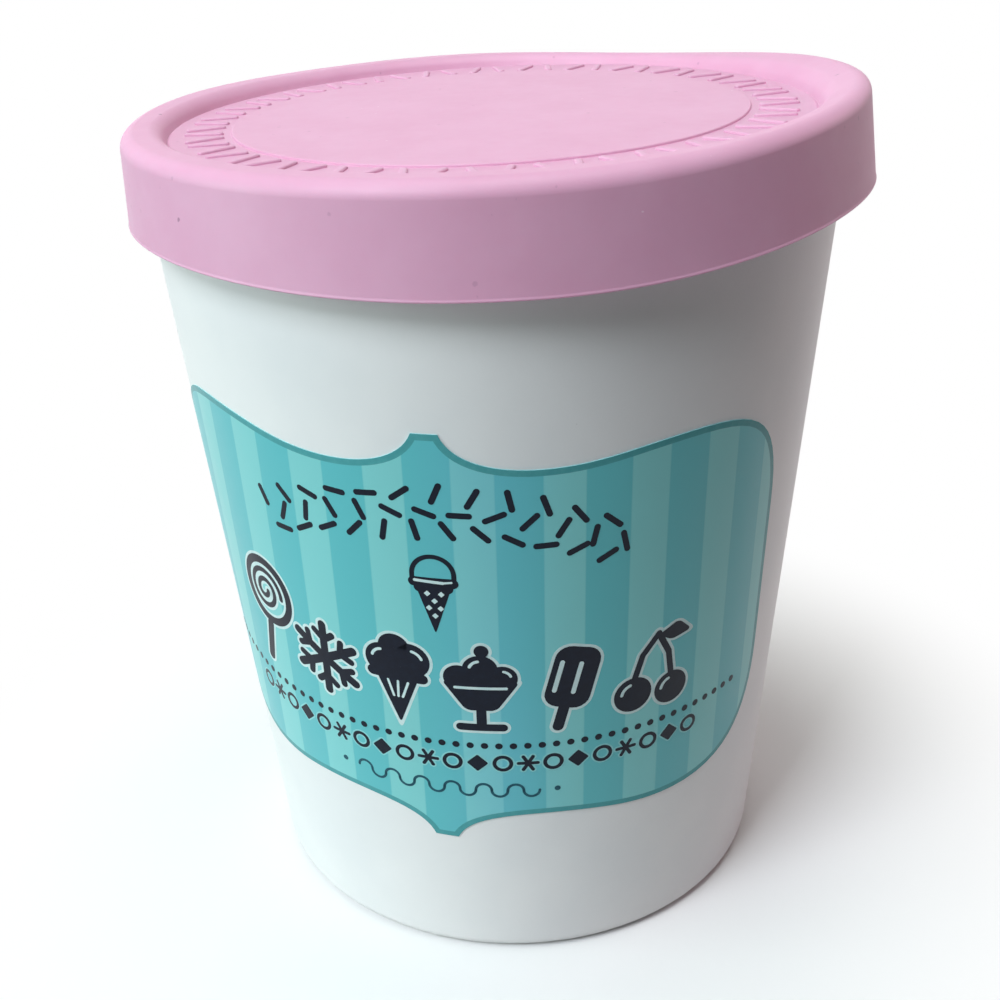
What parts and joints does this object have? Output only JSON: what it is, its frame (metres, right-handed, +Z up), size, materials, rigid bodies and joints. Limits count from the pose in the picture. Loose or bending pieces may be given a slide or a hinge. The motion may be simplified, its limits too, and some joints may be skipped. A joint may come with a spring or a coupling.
{
  "type": "ice cream tub",
  "caption": "Shut, reusable tub for ice cream: tapered plastic cup, soft press-on lid and a wrap-round film label.",
  "frame": {"origin": "centre of the tub's base, on the surface it stands on", "axes": "+Z up along the tub's axis, the label's middle facing -Y and a little towards -X"},
  "size_m": [0.121, 0.121, 0.1386],
  "materials": {
    "tub_plastic": "satin white moulded plastic",
    "lid_silicone": "soft matt pink silicone",
    "label_film": "printed film, satin gloss, teal stripes"
  },
  "bodies": {
    "root": {"tub": "tub_plastic", "lid": "lid_silicone", "label": "label_film"}
  },
  "joints": []
}
